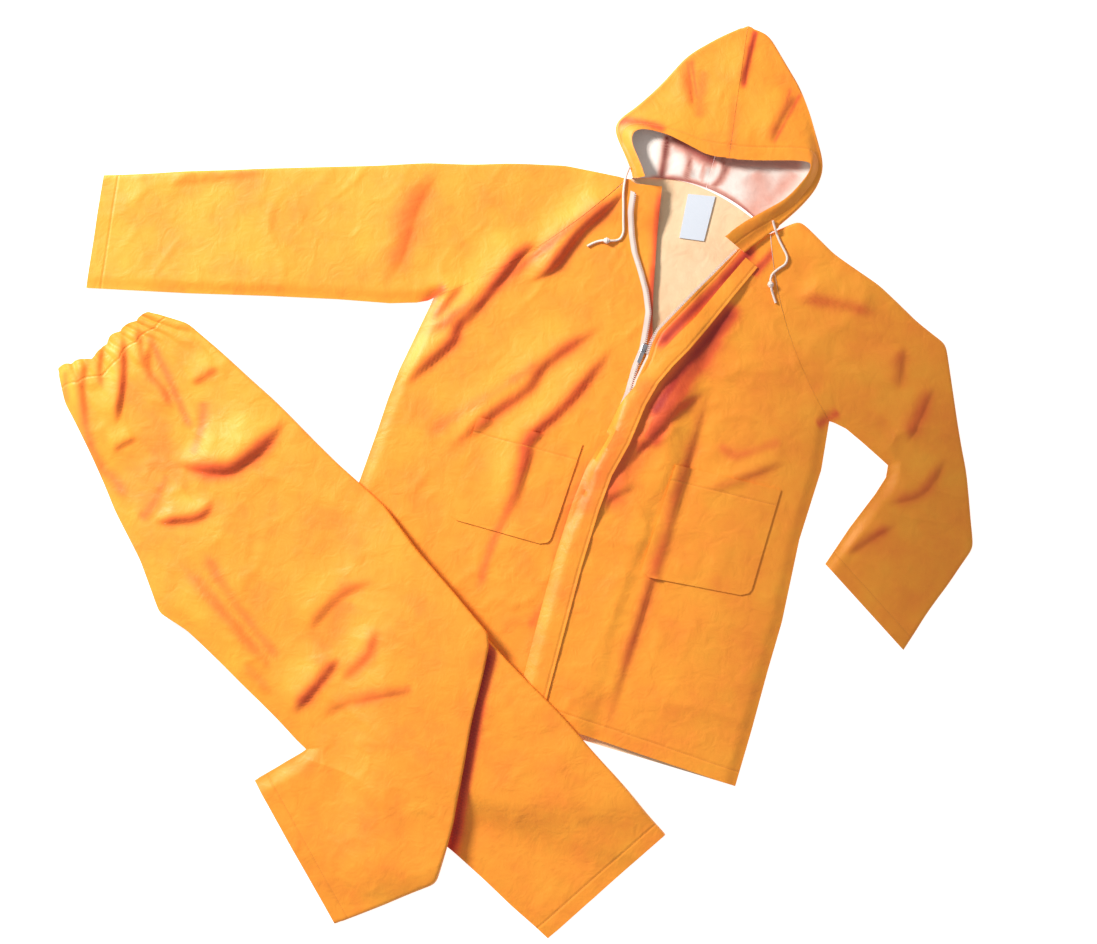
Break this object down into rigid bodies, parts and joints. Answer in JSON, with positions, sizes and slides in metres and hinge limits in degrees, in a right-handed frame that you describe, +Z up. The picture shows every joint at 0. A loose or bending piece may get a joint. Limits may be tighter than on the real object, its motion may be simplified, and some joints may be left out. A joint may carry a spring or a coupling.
{
  "type": "rain suit",
  "caption": "Hooded waterproof jacket with zip, storm flap and patch pockets, laid open on its back, with matching trousers folded in half over its lower corner.",
  "frame": {"origin": "centre of the bounding box in plan, on the surface the suit lies on", "axes": "+Z up from the surface it lies on, +Y towards the hood as in the picture, +X towards the wearer's left sleeve"},
  "size_m": [1.37, 1.368, 0.0318],
  "materials": {
    "shell": "orange coated cloth, low sheen, white inside",
    "trouser_shell": "orange coated cloth, low sheen, white inside",
    "zip_tape": "woven off-white tape",
    "zip_metal": "satin",
    "label": "bare woven label",
    "cotton": "braided cord"
  },
  "bodies": {
    "suit": {"jacket_back": "shell", "jacket_front_right": "shell", "jacket_front_left": "shell", "sleeve_right": "shell", "sleeve_left": "shell", "hood_right": "shell", "hood_left": "shell", "storm_flap": "shell", "pocket_right": "shell", "pocket_left": "shell", "zip_tape_right": "zip_tape", "zip_tape_left": "zip_tape", "zip_slider": "zip_metal", "label": "label", "drawcord_right": "cotton", "drawcord_left": "cotton", "drawcord_right_knot": "cotton", "drawcord_left_knot": "cotton", "trousers_left_leg": "trouser_shell", "trousers_right_leg": "trouser_shell"},
    "pull": {"zip_pull": "zip_metal"}
  },
  "joints": [
    {"name": "pull_hinge", "type": "hinge", "parent": "suit", "child": "pull", "pos_m": [0.191, 0.2, 0.0128], "axis": [-0.9333, 0.359, 0], "range_deg": [0, 150]}
  ]
}
